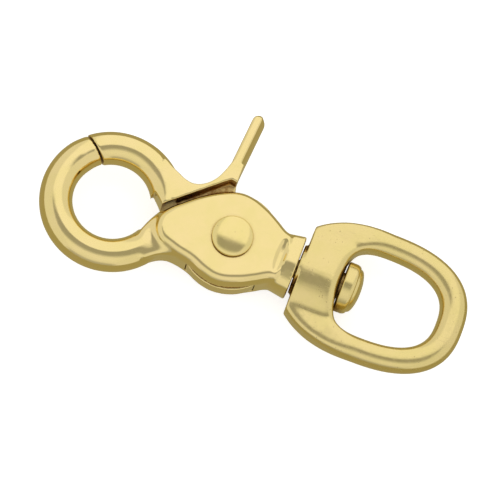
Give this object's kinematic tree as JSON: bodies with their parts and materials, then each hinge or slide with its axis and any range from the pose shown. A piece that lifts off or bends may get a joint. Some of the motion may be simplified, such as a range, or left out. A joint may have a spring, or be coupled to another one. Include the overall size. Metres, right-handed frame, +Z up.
{
  "type": "swivel hook",
  "caption": "Solid brass scissor snap hook: a sprung trigger jaw with a thumb lever closes the ring, and an oval eye swivels on a headed pin.",
  "frame": {"origin": "under the middle of the box that the closed hook fills, on the surface that it lies on", "axes": "+X along the swivel pin towards the eye, +Y towards the thumb lever, +Z up along the pivot rivet"},
  "size_m": [0.0974, 0.0458, 0.0139],
  "materials": {
    "polished_brass": "bright polished cast brass",
    "satin_brass": "tumbled satin cast brass with fine pitting",
    "rivet_brass": "satin brass wire stock, headed cold",
    "spring_steel": "drawn spring wire"
  },
  "bodies": {
    "hook": {"hook_body": "polished_brass", "pivot_rivet": "rivet_brass", "swivel_pin": "satin_brass", "torsion_spring": "spring_steel"},
    "trigger": {"trigger": "polished_brass"},
    "eye": {"swivel_eye": "satin_brass"}
  },
  "joints": [
    {"name": "trigger_pivot", "type": "hinge", "parent": "hook", "child": "trigger", "pos_m": [-0.00553, -0.00628, 0.00695], "axis": [0, 0, 1], "range_deg": [-45, 0], "stiffness_Nm_per_rad": 0.05, "springref_deg": 60.16, "deforming": ["torsion_spring"]},
    {"name": "eye_swivel", "type": "hinge", "parent": "hook", "child": "eye", "pos_m": [0.01547, -0.00628, 0.00695], "axis": [1, 0, 0], "continuous": true}
  ]
}
